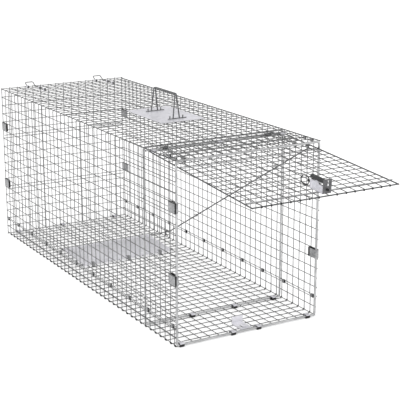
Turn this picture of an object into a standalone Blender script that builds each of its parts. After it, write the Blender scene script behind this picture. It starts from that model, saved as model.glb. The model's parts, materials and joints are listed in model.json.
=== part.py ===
"""Live catch trap: a long cage of welded wire mesh with one drop door, a treadle and a trip rod.

Frame: metres, +Z up. The origin is the centre of the underside of the cage, halfway along the
mesh box. The door end faces -Y, so +X is to the right of someone who looks into the mouth.
The door is modelled set, that is open, which is the rest position of every moving piece.
"""
import math

import bmesh
import bpy
from mathutils import Matrix, Vector

# ---- driving dimensions -------------------------------------------------------------------
CELL = 0.0254                 # pitch of the welded mesh
CELLS_WIDE, CELLS_HIGH = 16, 18
CELLS_REAR, CELLS_FRONT = 36, 6
SKIRT_CELLS = 2               # the floor sheet is bent up this far along both sides
MESH_WIRE = 0.0022
FRONT_HOOP_WIRE, MIDDLE_HOOP_WIRE = 0.0060, 0.0050
EDGE_WIRE = 0.0032            # border wires of the door
ROD_WIRE = 0.0035             # trip rod and handle
SPRING_WIRE = 0.0020
SHEET = 0.0010                # plates
CLIP_SHEET = 0.0008           # clips and hinge straps
GAP = 0.0003                  # air between pieces that touch
WELD = 0.0007                 # depth that welded wires sink into each other
PANEL_BAY = 4 * CELL          # bays of the simplified mesh panels

DOOR_LENGTH = 0.4550          # hinge axis to the free edge
DOOR_HALF_WIDTH = 0.1955
DOOR_REST = math.radians(3.96)        # the set door hangs this far below level
HINGE_Y, HINGE_Z = -0.3870, 0.4490
HINGE_RADIUS = 0.0020

TREADLE_Y, TREADLE_Z = 0.1130, 0.0078  # hinge wire of the treadle
TREADLE_ARM = 0.1385                   # hinge wire to lift wire
TREADLE_RISE = 0.0070                  # how far the lift wire stands above the hinge wire
TREADLE_HALF = 0.1430

HANDLE_X, HANDLE_Y = 0.0240, -0.0775   # centre of the guard plate and the carrying handle

# ---- sizes that follow from them ----------------------------------------------------------
MESH = 2 * MESH_WIRE                              # two crossed layers of wire
SIDE_X = CELLS_WIDE * CELL / 2                    # mid-plane of the side walls
INNER_X = SIDE_X - MESH / 2 - GAP                 # half width between the walls
TOP_Z = CELLS_HIGH * CELL + MESH / 2
FRONT_Y = -(CELLS_REAR + CELLS_FRONT) / 2 * CELL  # plane of the front hoop
MID_Y = FRONT_Y + (CELLS_FRONT + 0.2) * CELL      # plane of the middle hoop, beside a mesh wire
REAR_Y = -FRONT_Y                                 # plane of the rear panel
SEAM_Z = SKIRT_CELLS * CELL
SIDE_FACE = SIDE_X + MESH / 2
HOOP_FACE = SIDE_FACE - MESH_WIRE                 # the hoops lie inside the lengthwise wires
ROD_X = SIDE_FACE + ROD_WIRE / 2 + 0.00045
TREADLE_TILT = math.asin(TREADLE_RISE / TREADLE_ARM)

STEEL = {"galvanised wire": ((0.60, 0.61, 0.62, 1), 0.38, 0.9),
         "galvanised sheet": ((0.74, 0.75, 0.78, 1), 0.42, 0.8),
         "spring steel": ((0.36, 0.37, 0.38, 1), 0.35, 0.9),
         "blackened steel": ((0.10, 0.10, 0.11, 1), 0.45, 0.7),
         "black plastic": ((0.03, 0.03, 0.03, 1), 0.5, 0.0)}


# ---- scene and objects --------------------------------------------------------------------
def clear_scene():
    for obj in list(bpy.data.objects):
        bpy.data.objects.remove(obj, do_unlink=True)


def new_collection(name):
    group = bpy.data.collections.new(name)
    bpy.context.scene.collection.children.link(group)
    return group


def finish(obj, finish_name, parent=None):
    """Gives the object its own material, puts it in the trap's collection and parents it."""
    colour, roughness, metallic = STEEL[finish_name]
    mat = bpy.data.materials.new(obj.name + " finish")
    mat.use_nodes = True
    shader = mat.node_tree.nodes["Principled BSDF"]
    shader.inputs["Base Color"].default_value = colour
    shader.inputs["Roughness"].default_value = roughness
    shader.inputs["Metallic"].default_value = metallic
    obj.data.materials.clear()
    obj.data.materials.append(mat)
    for group in list(obj.users_collection):
        group.objects.unlink(obj)
    TRAP.objects.link(obj)
    obj.parent = parent
    return obj


def mesh_object(name, bm, location=(0, 0, 0), rotation=(0, 0, 0)):
    data = bpy.data.meshes.new(name)
    bmesh.ops.recalc_face_normals(bm, faces=bm.faces)
    bm.to_mesh(data)
    bm.free()
    obj = bpy.data.objects.new(name, data)
    obj.location = location
    obj.rotation_euler = rotation
    return obj


def pivot(name, location, rotation=(0, 0, 0), parent=None):
    empty = bpy.data.objects.new(name, None)
    empty.empty_display_size = 0.03
    empty.location = location
    empty.rotation_euler = rotation
    empty.parent = parent
    TRAP.objects.link(empty)
    return empty


# ---- shapes -------------------------------------------------------------------------------
def rounded(points, radius, steps=3, closed=False):
    """Returns the path through the points with every corner turned into an arc."""
    pts = [Vector(p) for p in points]
    count = len(pts)
    path = []
    for i, corner in enumerate(pts):
        if not closed and i in (0, count - 1):
            path.append(corner)
            continue
        to_last = (pts[i - 1] - corner).normalized()
        to_next = (pts[(i + 1) % count] - corner).normalized()
        half = to_last.angle(to_next) / 2
        centre = corner + (to_last + to_next).normalized() * radius / math.sin(half)
        start = (corner + to_last * radius / math.tan(half) - centre).normalized()
        end = (corner + to_next * radius / math.tan(half) - centre).normalized()
        for s in range(steps + 1):
            path.append(centre + radius * start.slerp(end, s / steps))
    return path


def wire(name, points, diameter, finish_name="galvanised wire", parent=None, closed=False, sides=6):
    """A round wire along the points, with flat ends."""
    curve = bpy.data.curves.new(name, "CURVE")
    curve.dimensions = "3D"
    curve.bevel_depth = diameter / 2
    curve.bevel_resolution = sides // 2 - 2
    curve.use_fill_caps = True
    spline = curve.splines.new("POLY")
    spline.points.add(len(points) - 1)
    for point, place in zip(spline.points, points):
        point.co = (*place, 1)
    spline.use_cyclic_u = closed
    return finish(bpy.data.objects.new(name, curve), finish_name, parent)


def solid_wire(name, points, diameter, sides=6):
    """The same wire as a closed mesh, ready to be cut or joined."""
    obj = wire(name, points, diameter, sides=sides)
    bpy.context.view_layer.update()
    evaluated = obj.evaluated_get(bpy.context.evaluated_depsgraph_get())
    data = bpy.data.meshes.new_from_object(evaluated)
    bm = bmesh.new()
    bm.from_mesh(data)
    bmesh.ops.remove_doubles(bm, verts=bm.verts, dist=0.00001)
    bm.to_mesh(data)
    bm.free()
    place = obj.matrix_world.copy()
    bpy.data.objects.remove(obj, do_unlink=True)
    mesh = bpy.data.objects.new(name, data)
    mesh.matrix_world = place
    return mesh


def mesh_panel(name, width, height, location, rotation=(0, 0, 0), parent=None):
    """A flat panel of welded mesh: bays of about PANEL_BAY between bars as wide as two wires."""
    across = math.ceil(width / PANEL_BAY - 0.1)
    along = math.ceil(height / PANEL_BAY - 0.1)
    bar = MESH_WIRE
    bm = bmesh.new()
    bmesh.ops.create_grid(bm, x_segments=across, y_segments=along, size=0.5)
    bmesh.ops.scale(bm, vec=(width - bar, height - bar, 1), verts=bm.verts)
    bays = bmesh.ops.inset_individual(bm, faces=bm.faces[:], thickness=bar / 2)
    kept = set(bays["faces"])
    bmesh.ops.delete(bm, geom=[f for f in bm.faces if f not in kept], context="FACES")
    for vert in bm.verts:
        if abs(abs(vert.co.x) - (width - bar) / 2) < bar / 10:
            vert.co.x = math.copysign(width / 2, vert.co.x)
        if abs(abs(vert.co.y) - (height - bar) / 2) < bar / 10:
            vert.co.y = math.copysign(height / 2, vert.co.y)
    panel = mesh_object(name, bm, location, rotation)
    thick = panel.modifiers.new("two layers of wire", "SOLIDIFY")
    thick.thickness = MESH
    thick.offset = 0
    return finish(panel, "galvanised wire", parent)


def bent_sheet(name, path, width, thickness, finish_name="galvanised sheet", parent=None, axis="X"):
    """A strip of sheet that follows the path in the plane across the axis."""
    along = Vector((width / 2, 0, 0)) if axis == "X" else Vector((0, 0, width / 2))
    bm = bmesh.new()
    rows = [(bm.verts.new(Vector(p) - along), bm.verts.new(Vector(p) + along)) for p in path]
    for (a, b), (c, d) in zip(rows, rows[1:]):
        bm.faces.new((a, b, d, c))
    strip = mesh_object(name, bm)
    thick = strip.modifiers.new("sheet", "SOLIDIFY")
    thick.thickness = thickness
    thick.offset = 0
    thick.use_even_offset = True
    return finish(strip, finish_name, parent)


def cutter(name, size, location, parent=None, radius=None, depth=None, rotation=(0, 0, 0), segments=12):
    """A box of the size, or a round bar of the radius and depth, that only cuts."""
    bm = bmesh.new()
    if radius:
        bmesh.ops.create_cone(bm, cap_ends=True, segments=segments, radius1=radius, radius2=radius,
                              depth=depth)
    else:
        bmesh.ops.create_cube(bm, size=1)
        bmesh.ops.scale(bm, vec=size, verts=bm.verts)
    return as_tool(mesh_object(name, bm, location, rotation), parent)


def sheet_loop(name, outline, half_width, parent=None):
    """A closed sleeve of clip sheet whose middle line is the outline."""
    half = Vector(half_width)
    bm = bmesh.new()
    rows = [(bm.verts.new(Vector(p) - half), bm.verts.new(Vector(p) + half)) for p in outline]
    for (a, b), (c, d) in zip(rows, rows[1:] + rows[:1]):
        bm.faces.new((a, b, d, c))
    sleeve = mesh_object(name, bm)
    thick = sleeve.modifiers.new("sheet", "SOLIDIFY")
    thick.thickness = CLIP_SHEET
    thick.offset = 0
    return finish(sleeve, "galvanised sheet", parent)


def as_tool(obj, parent=None):
    """Makes a shape an operand of a Boolean only."""
    obj.parent = parent
    obj.hide_render = True
    obj.display_type = "WIRE"
    CUTTERS.objects.link(obj)
    return obj


def boolean(obj, tool, operation="DIFFERENCE"):
    mod = obj.modifiers.new(operation.title() + " " + tool.name, "BOOLEAN")
    mod.operation = operation
    mod.solver = "EXACT"
    mod.object = tool


def turned(name, profile, finish_name, parent, location, rotation, sides=16):
    """A solid turned about its local Z from a profile of (radius, z), listed from the top down."""
    bm = bmesh.new()
    verts = [bm.verts.new((r, 0, z)) for r, z in profile]
    for a, b in zip(verts, verts[1:]):
        bm.edges.new((a, b))
    obj = mesh_object(name, bm, location, rotation)
    spin = obj.modifiers.new("turn", "SCREW")
    spin.axis = "Z"
    spin.steps = spin.render_steps = sides
    spin.use_merge_vertices = True
    spin.merge_threshold = 0.00001
    spin.use_smooth_shade = True
    return finish(obj, finish_name, parent)


def helix(radius, pitch, turns, per_turn, start=0.0):
    """Points of a coil about the X axis, from x = 0."""
    count = round(turns * per_turn)
    for i in range(count + 1):
        angle = start + 2 * math.pi * i / per_turn
        yield Vector((pitch * i / per_turn, radius * math.cos(angle), radius * math.sin(angle)))


# ---- the cage -----------------------------------------------------------------------------
def make_sections():
    """The flat faces of the bent mesh sheets, front section and rear section."""
    wall_foot = SEAM_Z + MESH_WIRE / 2 - 0.0010
    skirt_top = wall_foot - GAP
    half_gap = MIDDLE_HOOP_WIRE / 2 + GAP
    spans = {"rear": (MID_Y + half_gap, REAR_Y - MESH / 2 - GAP),
             "front": (FRONT_Y + FRONT_HOOP_WIRE / 2 + GAP, MID_Y - half_gap)}
    for part, (low, high) in spans.items():
        length, middle = high - low, (low + high) / 2
        mesh_panel("floor_mesh_" + part, 2 * INNER_X, length, (0, middle, MESH / 2))
        mesh_panel("roof_mesh_" + part, 2 * INNER_X, length, (0, middle, TOP_Z - MESH / 2))
        for side, sign in (("left", -1), ("right", 1)):
            upright = (0, math.pi / 2, 0)
            mesh_panel(f"skirt_mesh_{side}_{part}", skirt_top, length,
                       (sign * SIDE_X, middle, skirt_top / 2), upright)
            mesh_panel(f"wall_mesh_{side}_{part}", TOP_Z - wall_foot, length,
                       (sign * SIDE_X, middle, (TOP_Z + wall_foot) / 2), upright)
    panel = mesh_panel("rear_panel_mesh", 2 * SIDE_FACE, TOP_Z, (0, REAR_Y, TOP_Z / 2), (math.pi / 2, 0, 0))
    y = REAR_Y - MESH / 2 - EDGE_WIRE / 2 + WELD
    for level, height in (("lower", 5.65 * CELL), ("upper", 12.36 * CELL)):
        stiffener = solid_wire("rear stiffener " + level, [(-INNER_X, y, height), (INNER_X, y, height)],
                               EDGE_WIRE)
        boolean(panel, as_tool(stiffener), "UNION")


def make_hoops():
    """Closed rectangular hoops of heavy wire that carry the mouth and the middle of the cage."""
    for name, y, size in (("front_hoop", FRONT_Y, FRONT_HOOP_WIRE), ("middle_hoop", MID_Y, MIDDLE_HOOP_WIRE)):
        x = HOOP_FACE - size / 2
        low, high = MESH_WIRE + size / 2, TOP_Z - MESH_WIRE - size / 2
        corners = [(-x, y, low), (x, y, low), (x, y, high), (-x, y, high)]
        wire(name, rounded(corners, 0.012, closed=True), size, closed=True, sides=8)


def make_corner_clips():
    """Sheet sleeves closed round a corner of the cage and the nearest upright wire of the wall."""
    outer = SIDE_FACE + GAP + CLIP_SHEET / 2
    reach = 1.2 * CELL
    front_inner = HOOP_FACE - FRONT_HOOP_WIRE - GAP - CLIP_SHEET / 2
    rear_inner = SIDE_FACE - MESH - GAP - CLIP_SHEET / 2
    front_end = FRONT_Y - FRONT_HOOP_WIRE / 2 - GAP - CLIP_SHEET / 2
    rear_end = REAR_Y + MESH / 2 + GAP + CLIP_SHEET / 2
    for side, sign in (("left", -1), ("right", 1)):
        for level, height in (("lower", 6.55 * CELL), ("upper", 13.5 * CELL)):
            for end, inner, y_end, y_back in (("front", front_inner, front_end, FRONT_Y + reach),
                                              ("rear", rear_inner, rear_end, REAR_Y - reach)):
                corners = [(sign * outer, y_back, 0), (sign * outer, y_end, 0),
                           (sign * inner, y_end, 0), (sign * inner, y_back, 0)]
                clip = sheet_loop(f"{end}_clip_{side}_{level}", rounded(corners, 0.0009, 2, closed=True),
                                  (0, 0, 0.0115))
                clip.location.z = height


def make_rear_hooks():
    """Bent wires that hold the rear panel to the roof and stand a little above the top edge."""
    lie = TOP_Z + GAP + EDGE_WIRE / 2
    for side, x in (("left", -4.5 * CELL), ("right", 4.5 * CELL)):
        half = CELL / 2
        path = rounded([(half, REAR_Y - 4 * CELL, lie), (half, REAR_Y - 0.014, lie),
                        (half, REAR_Y, lie + 0.009), (-half, REAR_Y, lie + 0.009),
                        (-half, REAR_Y - 0.014, lie), (-half, REAR_Y - CELL, lie)], 0.004)
        hook = wire("rear_hook_" + side, path, EDGE_WIRE - 0.0004, "spring steel")
        hook.location.x = x


def make_handle():
    """Guard plate on the roof, two handle wires hooked through it, and two keeper wires."""
    leg, stub = 0.0105, 0.0195
    half_length, grip_half, rise = 0.0610, 0.0580, 0.0660
    plate_z = TOP_Z + GAP + SHEET / 2
    bm = bmesh.new()
    bmesh.ops.create_cube(bm, size=1)
    bmesh.ops.scale(bm, vec=(5.25 * CELL, 8 * CELL, SHEET), verts=bm.verts)
    plate = mesh_object("handle_guard_plate", bm, (HANDLE_X, HANDLE_Y, plate_z))
    finish(plate, "galvanised sheet")
    for x in (-stub, -leg, leg, stub):
        for y in (-half_length, half_length):
            boolean(plate, cutter(f"handle hole {x * 1000:.0f} {y * 1000:.0f}", None,
                                  (HANDLE_X + x, HANDLE_Y + y, plate_z), radius=0.0031, depth=0.01,
                                  segments=8))
    under = TOP_Z - MESH - GAP - ROD_WIRE / 2
    top = plate_z + rise
    for side, sign in (("left", -1), ("right", 1)):
        ends = [[(sign * stub, y, plate_z + 0.0080), (sign * stub, y, under), (sign * leg, y, under)]
                for y in (half_length, -half_length)]
        grip = [(sign * (ROD_WIRE / 2 + GAP), y, top) for y in (grip_half, -grip_half)]
        path = [*ends[0], *grip, *reversed(ends[1])]
        handle = wire("handle_wire_" + side, rounded(path, 0.0040, 2), ROD_WIRE)
        handle.location = (HANDLE_X, HANDLE_Y, 0)
    keeper_z = plate_z + SHEET / 2 + GAP + SPRING_WIRE / 2
    for end, y in (("rear", half_length - 0.0045), ("front", -half_length - 0.0045)):
        keeper = wire("handle_keeper_" + end, [(-1.1 * CELL, 0, 0), (1.1 * CELL, 0, 0)], SPRING_WIRE)
        keeper.location = (HANDLE_X, HANDLE_Y + y, keeper_z)


def make_strike():
    """Angle plate on the floor: a stop behind the shut door and a slotted foot for the bolt."""
    stop_y, foot_z = -0.4832, MESH + GAP + SHEET / 2
    path = rounded([(0, stop_y, foot_z + 0.0193), (0, stop_y, foot_z), (0, stop_y - 0.0450, foot_z)],
                   0.0015, 2)
    strike = bent_sheet("strike_plate", path, 0.0325, SHEET)
    boolean(strike, cutter("bolt slot", (0.0080, 0.0130, 0.02), (BOLT_X, -0.5090, foot_z)))


def make_door_stops():
    """Bent wires under the roof that bear on the set door from above."""
    lie = TOP_Z - MESH - GAP - SPRING_WIRE / 2
    for side, sign in (("left", -1), ("right", 1)):
        path = rounded([(0, -0.4560, lie), (0, -0.4620, lie), (0, -0.4660, lie - 0.0062),
                        (0, -0.4700, lie), (0, -0.5260, lie)], 0.0014)
        stop = wire("door_stop_" + side, path, SPRING_WIRE, "spring steel")
        stop.location.x = sign * 7.5 * CELL


def make_hinge():
    """Fixed hinge rod of the door and the two torsion springs wound round it."""
    wire("door_hinge_rod", [(-INNER_X, HINGE_Y, HINGE_Z), (INNER_X, HINGE_Y, HINGE_Z)],
         2 * HINGE_RADIUS, sides=8)
    coil_r, turns, per_turn = 0.0045, 6, 8
    pitch = SPRING_WIRE * 1.22
    roof_leg = TOP_Z + GAP + SPRING_WIRE / 2 - HINGE_Z
    for side, sign in (("left", -1), ("right", 1)):
        coil = list(helix(coil_r, pitch, turns - 0.25, per_turn, math.pi))
        width = coil[-1].x
        drop = math.sin(DOOR_REST)
        door_leg = [Vector((width, -0.110, coil_r - 0.110 * drop)), Vector((width, -0.020, coil_r - 0.020 * drop))]
        up = [Vector((0, -coil_r, 0.006)), Vector((0, -coil_r, roof_leg)), Vector((0, -0.060, roof_leg))]
        path = [*reversed(rounded(up, 0.003, 2)), *coil, *reversed(door_leg)]
        for p in path:
            p.x = sign * (p.x - width / 2)
        spring = wire("hinge_spring_" + side, path, SPRING_WIRE, "spring steel")
        spring.location = (sign * 0.150, HINGE_Y, HINGE_Z)


# ---- the door, in the frame of its hinge: -Y runs down the door, +Z is its outer face -------
BOLT_X, BOLT_Z = -0.0045, 0.0148
LOCK_LEFT, LOCK_RIGHT = -0.0166, 0.0062
LOCK_BACK, LOCK_FRONT = -0.4075, -0.4555
SIDE_TOP, END_TOP = 0.0275, 0.0385       # tops of the bracket's side plate and end plate
RING_RADIUS, RING_WIRE = 0.0110, 0.0024
RING_TURN = math.radians(18)             # the pull ring lies turned to the left of the bolt
CATCH_Y, CATCH_END = -0.0932, 0.1985     # the wire that the trip rod's finger holds up


def make_door(hinge):
    edge = EDGE_WIRE / 2
    side_x = DOOR_HALF_WIDTH - edge
    across = side_x - edge - GAP
    first, last = -0.0100, -DOOR_LENGTH + edge
    for side, sign in (("left", -1), ("right", 1)):
        wire("door_side_wire_" + side, [(sign * side_x, first + edge, 0), (sign * side_x, -DOOR_LENGTH, 0)],
             EDGE_WIRE, parent=hinge)
    wire("door_hinge_wire", [(-across, first, 0), (across, first, 0)], EDGE_WIRE, parent=hinge)
    wire("door_tip_wire", [(-across, last, 0), (across, last, 0)], EDGE_WIRE, parent=hinge)
    start, end = first - 0.0038, last + edge + GAP
    panel = mesh_panel("door_mesh", 2 * across, start - end, (0, (start + end) / 2, 0), parent=hinge)
    below = -MESH / 2 - edge
    for level, y, z in (("upper", -6 * CELL, below + WELD), ("lower", -17 * CELL, -below - WELD)):
        stiffener = solid_wire("door stiffener " + level, [(-across, y, z), (across, y, z)], EDGE_WIRE)
        boolean(panel, as_tool(stiffener, hinge), "UNION")
    below -= GAP
    wire("door_catch_wire", [(0.150, CATCH_Y, below), (CATCH_END, CATCH_Y, below)], EDGE_WIRE,
         "spring steel", hinge)
    strap_r = HINGE_RADIUS + 0.0004 + CLIP_SHEET / 2
    for name, x in (("left", -0.1855), ("middle", 0.0), ("right", 0.1855)):
        make_hinge_strap("hinge_strap_" + name, x, strap_r, first, hinge)


def make_hinge_strap(name, x, radius, reach, parent):
    """A sheet strap closed round the hinge rod and round the door's hinge wire."""
    steps = 6
    outline = []
    for centre, begin in ((0.0, -math.pi / 2), (reach, math.pi / 2)):
        for i in range(steps + 1):
            angle = begin + math.pi * i / steps
            outline.append((0, centre + radius * math.cos(angle), radius * math.sin(angle)))
    strap = sheet_loop(name, outline, (0.006, 0, 0), parent)
    strap.location.x = x


def box_part(name, low, high):
    bm = bmesh.new()
    bmesh.ops.create_cube(bm, size=1)
    size = Vector(high) - Vector(low)
    bmesh.ops.scale(bm, vec=size, verts=bm.verts)
    return mesh_object(name, bm, (Vector(low) + Vector(high)) / 2)


def make_lock(hinge):
    """Slam lock on the middle of the door's free edge: bracket, grip sleeve, bolt, spring, ring."""
    left, right, floor = LOCK_LEFT, LOCK_RIGHT, MESH / 2 + EDGE_WIRE + 2 * GAP
    bracket = box_part("lock_bracket", (left, LOCK_FRONT, floor), (right, LOCK_BACK, floor + SHEET))
    finish(bracket, "galvanised sheet", hinge)
    plates = {"side": ((left, LOCK_FRONT, floor), (left + SHEET, LOCK_BACK, SIDE_TOP)),
              "end": ((left, LOCK_FRONT, floor), (right, LOCK_FRONT + SHEET, END_TOP)),
              "rear lug": ((left, LOCK_BACK - 0.0030, floor), (0.0040, LOCK_BACK - 0.0030 + SHEET, 0.0220))}
    for name, (low, high) in plates.items():
        boolean(bracket, as_tool(box_part("bracket " + name, low, high), hinge), "UNION")
    for name, y in (("bolt hole rear", LOCK_BACK - 0.0025), ("bolt hole front", LOCK_FRONT + 0.0005)):
        boolean(bracket, cutter(name, None, (BOLT_X, y, BOLT_Z), hinge, 0.0032, 0.004, (math.pi / 2, 0, 0)))
    grip_r = 0.0052
    rim = 0.0008
    length = LOCK_BACK - LOCK_FRONT - SHEET - GAP + 0.0010
    turned("lock_grip", [(0, length), (grip_r - rim, length), (grip_r, length - rim), (grip_r, rim),
                         (grip_r - rim, 0), (0, 0)], "black plastic", hinge,
           (left + grip_r, LOCK_BACK + 0.0010, SIDE_TOP + GAP + grip_r), (math.pi / 2, 0, 0))
    bolt_slide = pivot("bolt_slide", (BOLT_X, 0, BOLT_Z), parent=hinge)
    tail, nose, collar = -0.3850, -0.4610, -0.4400
    r, c = 0.0028, 0.0048
    profile = [(0, nose), (r - 0.0012, nose), (r, nose + 0.0018), (r, collar - 0.0030),
               (c, collar - 0.0030), (c, collar), (r, collar), (r, tail - 0.0008), (r - 0.0008, tail), (0, tail)]
    bolt = turned("lock_bolt", [(a, -b) for a, b in profile], "blackened steel", bolt_slide,
                  (0, 0, 0), (math.pi / 2, 0, 0), 12)
    ring_y = tail - 0.0040
    boolean(bolt, cutter("ring hole", None, (0, ring_y, 0), bolt_slide, RING_WIRE / 2 + 2 * GAP, 0.02))
    coil = [Vector((p.y, p.x, p.z)) for p in helix(0.0042, 0.0042, 6, 8)]
    spring = wire("lock_spring", coil, 0.0010, "spring steel", hinge)
    spring.location = (BOLT_X, collar + 0.0012, BOLT_Z)
    ring_pivot = pivot("ring_pivot", (0, ring_y, 0), parent=bolt_slide)
    ring_pivot.rotation_euler.z = RING_TURN
    bpy.ops.mesh.primitive_torus_add(major_segments=24, minor_segments=6, major_radius=RING_RADIUS,
                                     minor_radius=RING_WIRE / 2, rotation=(0, math.pi / 2, 0))
    ring = bpy.context.object
    ring.name = "pull_ring"
    finish(ring, "blackened steel", ring_pivot)
    ring.location = (0, RING_RADIUS, 0)


# ---- the treadle and its rod ---------------------------------------------------------------
def make_treadle():
    r = SPRING_WIRE * 0.75
    wire("treadle_hinge_wire", [(-TREADLE_HALF - 0.007, TREADLE_Y, TREADLE_Z),
                                (TREADLE_HALF + 0.007, TREADLE_Y, TREADLE_Z)], 2 * r)
    foot_drop = TREADLE_Z - MESH - GAP - CLIP_SHEET / 2
    for side, x in (("left", -0.1468), ("right", 0.1468)):
        path = [(0, 0.0140, -foot_drop)]
        for i in range(9):
            angle = -math.pi / 2 - math.radians(290) * i / 8
            path.append((0, foot_drop * math.cos(angle), foot_drop * math.sin(angle)))
        clip = bent_sheet("treadle_clip_" + side, path, 0.0055, CLIP_SHEET)
        clip.location = (x, TREADLE_Y, TREADLE_Z)
    hinge = pivot("treadle_pivot", (0, TREADLE_Y, TREADLE_Z), (TREADLE_TILT, 0, 0))
    curl = r + GAP + SHEET / 2
    sweep = math.radians(250)
    steps = 8

    def roll(centre, towards):
        """Rolled edge round a wire: from the open end of the roll to where the sheet runs flat."""
        points = []
        for i in range(steps + 1):
            angle = math.pi / 2 + towards * sweep * (1 - i / steps)
            points.append((0, centre + curl * math.cos(angle), curl * math.sin(angle)))
        return points

    path = [*roll(0.0, 1), *reversed(roll(TREADLE_ARM, -1))]
    plate = bent_sheet("treadle_plate", path, 2 * TREADLE_HALF, SHEET, parent=hinge)
    for x in (-5.1 * CELL, 5.1 * CELL):
        boolean(plate, cutter(f"treadle hole {x * 1000:.0f}", None, (x, TREADLE_ARM - 0.012, curl),
                              hinge, 0.0030, 0.004))
    outer = ROD_X + 0.0062
    wire("treadle_lift_wire", [(-TREADLE_HALF - 0.007, TREADLE_ARM, 0), (outer, TREADLE_ARM, 0)],
         2 * r, parent=hinge)


def make_trip_rod():
    """Rod outside the right wall: an open eye round the lift wire, and a finger under the catch."""
    lift = Vector((0, TREADLE_Y + TREADLE_ARM * math.cos(TREADLE_TILT), TREADLE_Z + TREADLE_RISE))
    slide = pivot("rod_slide", (ROD_X, lift.y, lift.z))
    finger = Vector((0, -0.4795, 0.43475)) - lift
    knee = finger - Vector((0, 0, 0.0082))
    eye_r = 0.0076
    axis = math.atan2(knee.z, knee.y)
    steps = 12
    gap_angle = math.radians(50)
    lower = Vector((0, knee.z, -knee.y)).normalized() * 0.0030
    eye = []
    for i in range(steps + 1):
        angle = axis + gap_angle + (2 * math.pi - gap_angle) * i / steps
        eye.append(Vector((0, eye_r * math.cos(angle), eye_r * math.sin(angle))) - lower)
    inboard = CATCH_END + 0.0005 - ROD_X
    straight = rounded([eye[-1], knee, finger, finger + Vector((inboard, 0, 0))], 0.0036)
    wire("trip_rod", [*eye[:-1], *straight], ROD_WIRE, "spring steel", slide)
    along = (knee - eye[-1]).normalized()
    across = Vector((0, -along.z, along.y))
    for end, place in (("front", 0.6700), ("rear", 0.2000)):
        centre = lift + eye[-1] + along * place
        loop_r, loop_wire = 0.0031, 0.0018
        points = [Vector((-0.0075, 0, 0)) + across * loop_r]
        for i in range(7):
            angle = math.pi / 2 - math.pi * i / 6
            points.append(Vector((loop_r * math.cos(angle), 0, 0)) + across * loop_r * math.sin(angle))
        points.append(Vector((-0.0075, 0, 0)) - across * loop_r)
        staple = wire("rod_guide_" + end, points, loop_wire)
        staple.location = (ROD_X, centre.y, centre.z)


clear_scene()
TRAP = new_collection("live catch trap")
CUTTERS = new_collection("cutters")
make_sections()
make_hoops()
make_corner_clips()
make_rear_hooks()
make_handle()
make_strike()
make_door_stops()
make_hinge()
door_pivot = pivot("door_pivot", (0, HINGE_Y, HINGE_Z), (DOOR_REST, 0, 0))
make_door(door_pivot)
make_lock(door_pivot)
make_treadle()
make_trip_rod()
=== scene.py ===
"""Looks of the live catch trap: every wire, sheet and spring drawn at full detail round the frame.

All places are in the frame's metres: +Y runs from the mouth to the closed end, +Z is up.
The door and everything on it is drawn in the door's own frame, with -Y running down the door
from its hinge and +Z out of its outer face, and is then turned to its set angle.
"""

import json
import math
import random

import bmesh
import bpy
from mathutils import Matrix, Vector


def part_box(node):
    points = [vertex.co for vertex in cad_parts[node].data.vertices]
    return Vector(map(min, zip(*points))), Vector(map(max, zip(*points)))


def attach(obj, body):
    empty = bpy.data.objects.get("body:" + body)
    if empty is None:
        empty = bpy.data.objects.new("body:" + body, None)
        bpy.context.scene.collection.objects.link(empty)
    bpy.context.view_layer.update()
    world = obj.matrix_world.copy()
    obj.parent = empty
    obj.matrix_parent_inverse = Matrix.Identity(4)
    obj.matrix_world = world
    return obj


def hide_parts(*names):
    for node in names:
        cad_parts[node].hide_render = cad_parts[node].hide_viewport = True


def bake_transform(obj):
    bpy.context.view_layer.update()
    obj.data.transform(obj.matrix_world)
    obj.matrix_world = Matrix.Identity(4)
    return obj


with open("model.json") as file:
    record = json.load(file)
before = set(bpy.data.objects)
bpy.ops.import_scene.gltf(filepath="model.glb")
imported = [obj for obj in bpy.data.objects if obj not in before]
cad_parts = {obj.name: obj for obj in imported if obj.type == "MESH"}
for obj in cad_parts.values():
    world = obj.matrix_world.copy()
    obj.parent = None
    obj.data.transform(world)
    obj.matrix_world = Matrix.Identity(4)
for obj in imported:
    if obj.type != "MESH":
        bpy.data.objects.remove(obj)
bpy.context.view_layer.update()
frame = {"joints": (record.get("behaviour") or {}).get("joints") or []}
random.seed(7)

# ---- driving dimensions -------------------------------------------------------------------
CELL = 0.0254                  # pitch of the welded mesh
WIRE = 0.0020                  # mesh wire
SINK = 0.0003                  # depth that crossed wires are welded into each other
EDGE = 0.0031                  # frame wire of the door
STIFFENER = 0.0024             # wires that stiffen the door and the rear panel
SPRING = 0.0020                # hinge springs, door stops and the handle's keepers
PIVOT_WIRE = 0.0030            # catch wire, lift wire and the treadle's hinge wire
ROD = 0.0036                   # CAD's trip rod and handle wire, which are drawn finer by ROD_TRIM
ROD_TRIM = 0.0002
CLIP = 0.0008                  # clip sheet
CORNER_CLIP, FLOOR_CLIP = 0.0012, 0.0015               # heavier clip sheets
PLATE = 0.0010                 # plate sheet
FOLD = 0.0018                  # corner radius of the small folded clips
CELLS_HIGH, SKIRT_CELLS = 18, 2
JITTER = 0.00025               # how far a wire of the mesh may lie off its place
BURR = 0.0012                  # sheared tip of a cut wire, dark: uncoated steel darkened further as painted shade
BOW = 3 * CELL                 # a wire may change its sway this often
SEAM_GAP = 0.0006              # upright wires of tray and cover end this far from the seam
EDGE_GAP = 0.0016              # and their lengthwise edge wires lie this far from it
TRAY_BEND, ROOF_BEND = 0.0036, 0.0060                  # radius of the bent sheets' corners
BEND_SHADE_WIRE, BEND_SHADE_LIFT = 0.0034, 0.0007                       # dark tubes round the tray's bends: painted shade
BEND_SHADE_STOP, BEND_SHADE_RISE = 0.0062, 0.0070                  # ends of the painted shade, inward and upward of a corner
SHADED_REACH, SHADED_TOP = 0.0060, 0.0066                  # where the tray's wires take painted shade
FINGER_ROOM = 0.0028           # the right wall's top wire lies lower, clear of the rod's finger

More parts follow.
